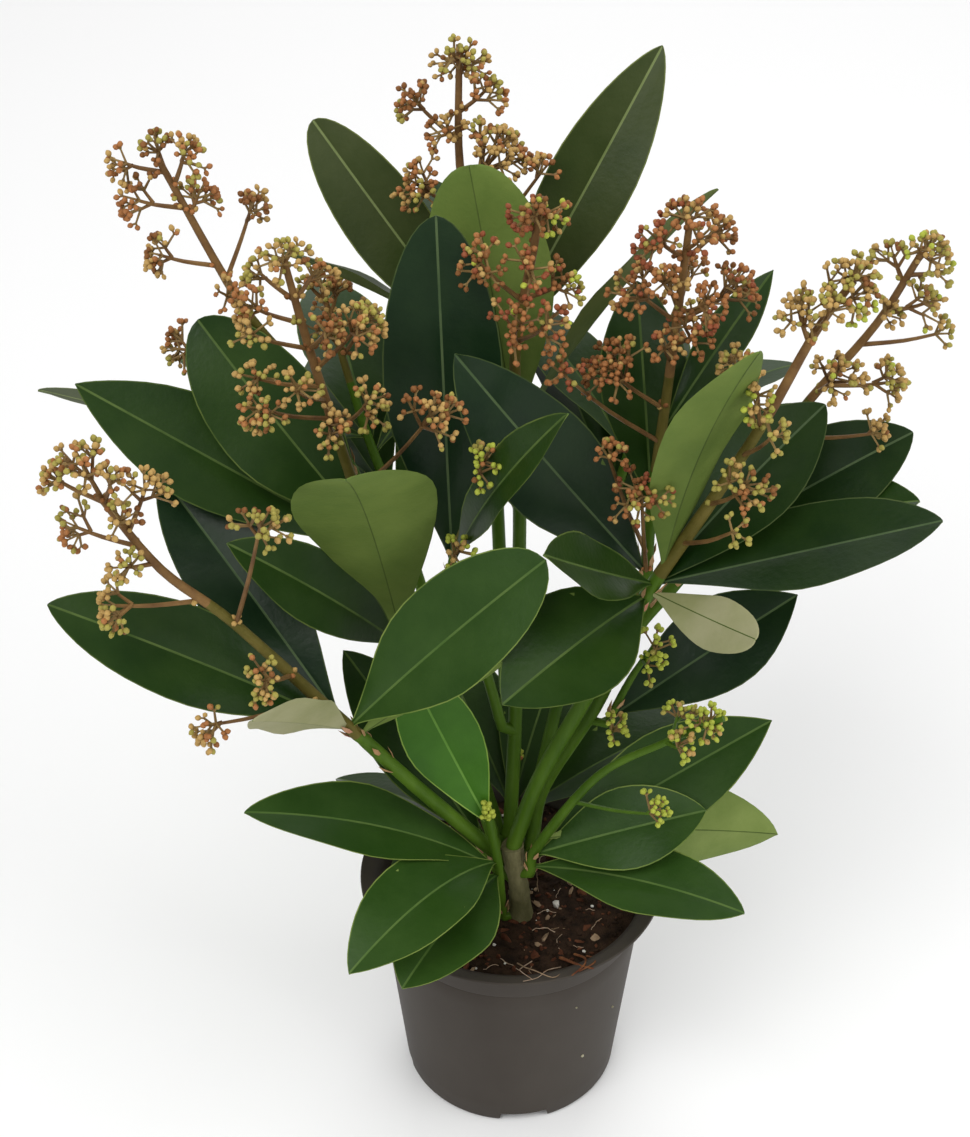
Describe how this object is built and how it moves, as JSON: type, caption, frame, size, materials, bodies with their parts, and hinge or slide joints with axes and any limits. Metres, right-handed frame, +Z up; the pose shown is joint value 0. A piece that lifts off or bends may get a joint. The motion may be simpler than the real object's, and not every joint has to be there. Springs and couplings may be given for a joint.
{
  "type": "potted skimmia shrub",
  "caption": "Young evergreen shrub with glossy leaves and upright heads of flower buds, in a round tapered plastic nursery pot filled with compost.",
  "frame": {"origin": "centre of the pot's flat underside", "axes": "+Z up along the pot's axis, +X to the plant's right as seen from the front, +Y away from the front"},
  "size_m": [0.3489, 0.2581, 0.4554],
  "materials": {
    "pot": "dusty dark grey-brown moulded plastic",
    "compost": "dark crumbly compost with white grains",
    "bark": "grey-green bark with pale scars",
    "bough_bark": "smooth olive green young bark",
    "foliage": "glossy dark green leaves, red-brown twigs and tan buds"
  },
  "bodies": {
    "root": {"back_left_bough": "bough_bark", "back_left_leaves": "foliage", "back_low_leaves": "foliage", "back_right_bough": "bough_bark", "back_right_leaves": "foliage", "centre_bough": "bough_bark", "centre_leaves": "foliage", "centre_right_bough": "bough_bark", "centre_right_leaves": "foliage", "front_leaves": "foliage", "inner_centre_bough": "bough_bark", "inner_centre_leaves": "foliage", "inner_left_bough": "bough_bark", "inner_left_leaves": "foliage", "inner_right_leaves": "foliage", "left_bough": "bough_bark", "left_leaves": "foliage", "low_left_leaves": "foliage", "low_right_leaves": "foliage", "mid_left_bough": "bough_bark", "mid_left_leaves": "foliage", "pot": "pot", "right_back_bough": "bough_bark", "right_back_leaves": "foliage", "right_bough": "bough_bark", "right_leaves": "foliage", "soil": "compost", "top_bough": "bough_bark", "top_leaves": "foliage", "trunk": "bark", "upper_left_bough": "bough_bark", "upper_left_leaves": "foliage"}
  },
  "joints": []
}
